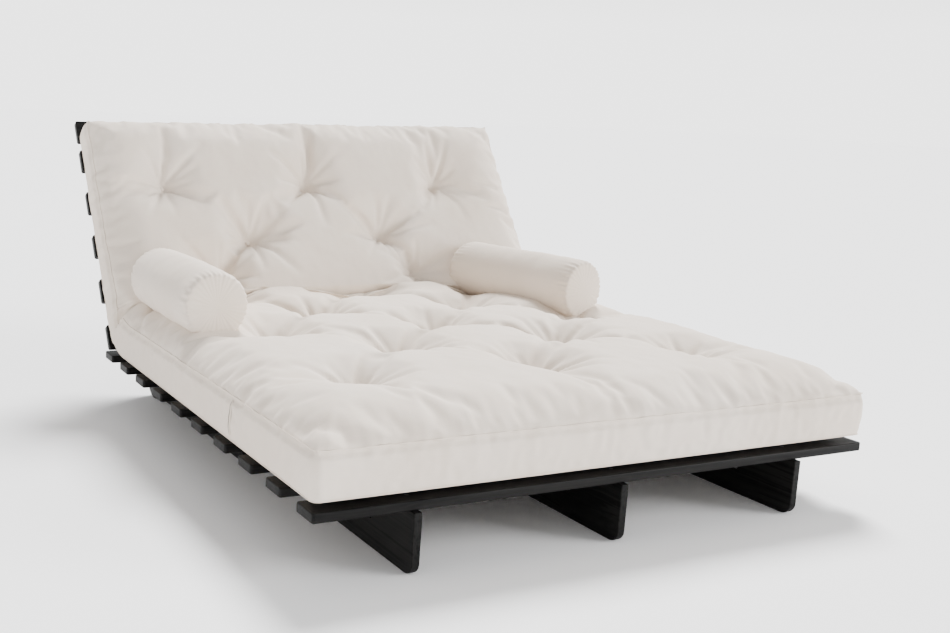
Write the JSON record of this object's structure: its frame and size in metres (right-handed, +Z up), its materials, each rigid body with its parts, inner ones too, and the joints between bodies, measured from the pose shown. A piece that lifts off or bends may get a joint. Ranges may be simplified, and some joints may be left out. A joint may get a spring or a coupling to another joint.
{
  "type": "futon sofa bed",
  "caption": "Low slatted futon sofa bed: black pine base that pulls out, reclining slatted backrest, tufted natural cotton futon and loose round bolsters.",
  "frame": {"origin": "floor level, below the middle of the bounding box of the lounger position", "axes": "+Y from the front edge of the seat to the back, +Z up, +X to the right as one faces the sofa"},
  "size_m": [1.4, 1.8148, 0.7976],
  "materials": {
    "black_pine": "black-stained pine, satin, grain showing",
    "futon_cotton": "undyed natural cotton twill, matt",
    "tuft_cotton": "round cotton tufts, matt",
    "webbing_black": "woven strap, matt",
    "zinc_steel": "zinc-plated",
    "black_screw": "blackened",
    "nylon_black": "moulded, matt"
  },
  "bodies": {
    "rear_section": {"rear_board_left": "black_pine", "rear_board_middle": "black_pine", "rear_board_right": "black_pine", "seat_slat_10": "black_pine", "rear_slat_screws": "black_screw", "guide_bolts": "zinc_steel", "guide_spacers": "nylon_black", "guide_washers": "zinc_steel", "guide_nuts": "zinc_steel", "hinge_bolts": "zinc_steel", "hinge_friction_discs": "nylon_black", "hinge_lock_nuts": "zinc_steel", "webbing_left": "webbing_black", "webbing_right": "webbing_black", "futon_seat": "futon_cotton", "seat_tufts": "tuft_cotton"},
    "front_section": {"front_board_left": "black_pine", "front_board_middle": "black_pine", "front_board_right": "black_pine", "seat_slat_01": "black_pine", "front_slat_screws": "black_screw"},
    "backrest": {"back_board_left": "black_pine", "back_board_middle": "black_pine", "back_board_right": "black_pine", "back_slat_1": "black_pine", "back_slat_2": "black_pine", "back_slat_3": "black_pine", "back_slat_4": "black_pine", "back_slat_5": "black_pine", "back_slat_6": "black_pine", "back_slat_screws": "black_screw", "futon_back": "futon_cotton", "back_tufts": "tuft_cotton"},
    "bolster_left": {"bolster_left": "futon_cotton"},
    "bolster_right": {"bolster_right": "futon_cotton"},
    "seat_slat_02": {"seat_slat_02": "black_pine"},
    "seat_slat_03": {"seat_slat_03": "black_pine"},
    "seat_slat_04": {"seat_slat_04": "black_pine"},
    "seat_slat_05": {"seat_slat_05": "black_pine"},
    "seat_slat_06": {"seat_slat_06": "black_pine"},
    "seat_slat_07": {"seat_slat_07": "black_pine"},
    "seat_slat_08": {"seat_slat_08": "black_pine"},
    "seat_slat_09": {"seat_slat_09": "black_pine"}
  },
  "joints": [
    {"name": "front_push", "type": "slide", "parent": "rear_section", "child": "front_section", "axis": [0, 1, 0], "range_m": [0, 0.5904]},
    {"name": "seat_slat_02_slide", "type": "slide", "parent": "rear_section", "child": "seat_slat_02", "axis": [0, 1, 0], "range_m": [0, 0.525]},
    {"name": "seat_slat_03_slide", "type": "slide", "parent": "rear_section", "child": "seat_slat_03", "axis": [0, 1, 0], "range_m": [0, 0.4594]},
    {"name": "seat_slat_04_slide", "type": "slide", "parent": "rear_section", "child": "seat_slat_04", "axis": [0, 1, 0], "range_m": [0, 0.3938]},
    {"name": "seat_slat_05_slide", "type": "slide", "parent": "rear_section", "child": "seat_slat_05", "axis": [0, 1, 0], "range_m": [0, 0.3282]},
    {"name": "seat_slat_06_slide", "type": "slide", "parent": "rear_section", "child": "seat_slat_06", "axis": [0, 1, 0], "range_m": [0, 0.2626]},
    {"name": "seat_slat_07_slide", "type": "slide", "parent": "rear_section", "child": "seat_slat_07", "axis": [0, 1, 0], "range_m": [0, 0.197]},
    {"name": "seat_slat_08_slide", "type": "slide", "parent": "rear_section", "child": "seat_slat_08", "axis": [0, 1, 0], "range_m": [0, 0.1314]},
    {"name": "seat_slat_09_slide", "type": "slide", "parent": "rear_section", "child": "seat_slat_09", "axis": [0, 1, 0], "range_m": [0, 0.0658]},
    {"name": "back_fold", "type": "hinge", "parent": "rear_section", "child": "backrest", "pos_m": [0, 0.42264, 0.0632], "axis": [-1, 0, 0], "range_deg": [0, 56.4]},
    {"name": "bolster_left_lift", "type": "slide", "parent": "rear_section", "child": "bolster_left", "axis": [0, 0, 1], "range_m": [0, 0.3]},
    {"name": "bolster_right_lift", "type": "slide", "parent": "rear_section", "child": "bolster_right", "axis": [0, 0, 1], "range_m": [0, 0.3]}
  ],
  "couplings": [
    {"joint": "seat_slat_02_slide", "follows": "front_push", "ratio": 0.88889},
    {"joint": "seat_slat_03_slide", "follows": "front_push", "ratio": 0.77778},
    {"joint": "seat_slat_04_slide", "follows": "front_push", "ratio": 0.66667},
    {"joint": "seat_slat_05_slide", "follows": "front_push", "ratio": 0.55556},
    {"joint": "seat_slat_06_slide", "follows": "front_push", "ratio": 0.44444},
    {"joint": "seat_slat_07_slide", "follows": "front_push", "ratio": 0.33333},
    {"joint": "seat_slat_08_slide", "follows": "front_push", "ratio": 0.22222},
    {"joint": "seat_slat_09_slide", "follows": "front_push", "ratio": 0.11111}
  ]
}
